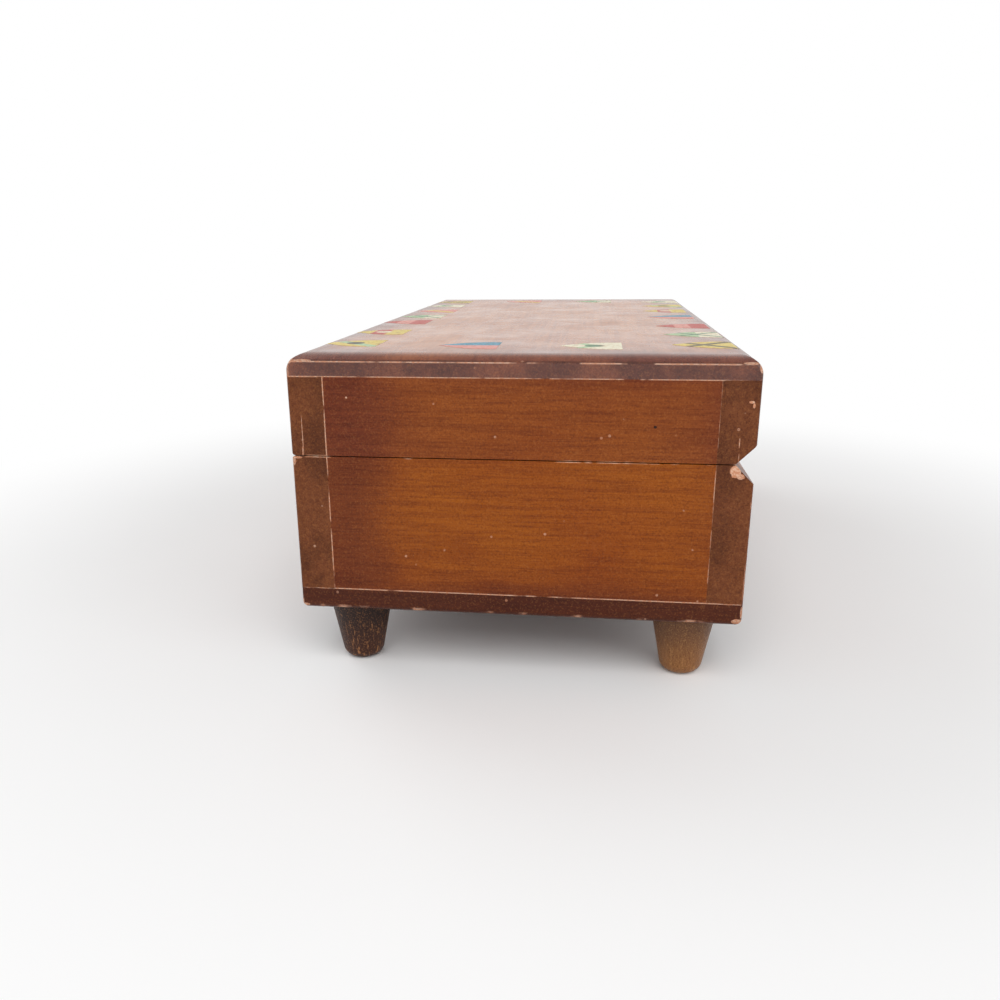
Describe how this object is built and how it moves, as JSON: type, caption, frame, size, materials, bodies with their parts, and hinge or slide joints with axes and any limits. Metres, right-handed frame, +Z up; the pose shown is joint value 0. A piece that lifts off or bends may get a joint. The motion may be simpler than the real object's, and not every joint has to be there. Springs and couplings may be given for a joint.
{
  "type": "musical jewelry box",
  "caption": "Lacquered wooden jewelry box on turned feet, with a hinged lid, a lid mirror, ring rolls, a velvet well and a key-wound comb movement.",
  "frame": {"origin": "on the floor under the centre of the box, in the plane of the foot bottoms", "axes": "+X along the box to its right end, +Y to the back where the hinges are, +Z up"},
  "size_m": [0.25, 0.1258, 0.0929],
  "materials": {
    "lacquered_wood": "glossy reddish-brown lacquer over fine-grained hardwood, worn pale at the edges",
    "inner_wood": "satin varnished hardwood",
    "foot_wood": "turned hardwood, thin dark stain, satin",
    "velvet": "dark red velvet",
    "mirror": "silvered glass",
    "clear_glass": "clear sheet glass",
    "brass": "satin brass",
    "brass_screw": "brass",
    "steel": "bright steel",
    "movement_casting": "grey-gold plated casting",
    "key_steel": "nickelled steel"
  },
  "bodies": {
    "lid": {"hinge_left_lid_leaf": "brass", "hinge_left_lid_screws": "brass_screw", "hinge_right_lid_leaf": "brass", "hinge_right_lid_screws": "brass_screw", "lid_back_board": "lacquered_wood", "lid_front_board": "lacquered_wood", "lid_left_end": "lacquered_wood", "lid_mirror": "mirror", "lid_right_end": "lacquered_wood", "lid_top_board": "lacquered_wood", "mirror_bead_back": "inner_wood", "mirror_bead_front": "inner_wood", "mirror_bead_left": "inner_wood", "mirror_bead_right": "inner_wood"},
    "winding": {"great_wheel": "brass", "winding_arbor": "steel", "winding_key": "key_steel"},
    "drum": {"drum_arbor": "steel", "drum_wheel": "brass", "output_wheel": "brass", "music_drum": "brass"},
    "middle_wheel": {"middle_pinion": "steel", "middle_wheel": "brass"},
    "governor": {"worm": "steel", "fly": "brass"},
    "stop": {"stop_plunger": "brass", "stop_wire": "steel"},
    "case": {"base_back_board": "lacquered_wood", "base_front_board": "lacquered_wood", "base_left_end": "lacquered_wood", "base_right_end": "lacquered_wood", "bottom_board": "lacquered_wood", "comb": "steel", "comb_screws": "key_steel", "foot_back_left": "foot_wood", "foot_back_right": "foot_wood", "foot_front_left": "foot_wood", "foot_front_right": "foot_wood", "governor_bracket": "movement_casting", "hinge_left_base_leaf": "brass", "hinge_left_base_screws": "brass_screw", "hinge_left_pin": "brass_screw", "hinge_right_base_leaf": "brass", "hinge_right_base_screws": "brass_screw", "hinge_right_pin": "brass_screw", "lining_back": "velvet", "lining_front": "velvet", "lining_left": "velvet", "lining_right": "velvet", "mainspring": "steel", "movement_glass": "clear_glass", "movement_plate": "movement_casting", "movement_screws": "key_steel", "partition": "inner_wood", "ring_roll_1": "velvet", "ring_roll_2": "velvet", "ring_roll_3": "velvet", "ring_roll_4": "velvet", "spring_barrel": "brass", "well_floor_pad": "velvet"}
  },
  "joints": [
    {"name": "lid_hinge", "type": "hinge", "parent": "case", "child": "lid", "pos_m": [0, 0.05881, 0.06515], "axis": [-1, 0, 0], "range_deg": [0, 90]},
    {"name": "drum_spin", "type": "hinge", "parent": "case", "child": "drum", "pos_m": [-0.0935, 0, 0.0386], "axis": [0, 1, 0], "continuous": true},
    {"name": "key_spin", "type": "hinge", "parent": "case", "child": "winding", "pos_m": [-0.0935, -0.02, 0.03], "axis": [0, 0, 1], "continuous": true},
    {"name": "middle_wheel_spin", "type": "hinge", "parent": "case", "child": "middle_wheel", "pos_m": [-0.1031, 0.02, 0.0358], "axis": [0, 1, 0], "continuous": true},
    {"name": "governor_spin", "type": "hinge", "parent": "case", "child": "governor", "pos_m": [-0.0955, 0.025, 0.03], "axis": [0, 0, 1], "continuous": true},
    {"name": "stop_plunger_slide", "type": "slide", "parent": "case", "child": "stop", "axis": [0, 0, 1], "range_m": [0, 0.003]}
  ],
  "couplings": [
    {"joint": "key_spin", "follows": "drum_spin", "ratio": 0.55556},
    {"joint": "middle_wheel_spin", "follows": "drum_spin", "ratio": -4},
    {"joint": "governor_spin", "follows": "drum_spin", "ratio": -32},
    {"joint": "stop_plunger_slide", "follows": "lid_hinge", "m_per_rad": 0.0019097}
  ]
}
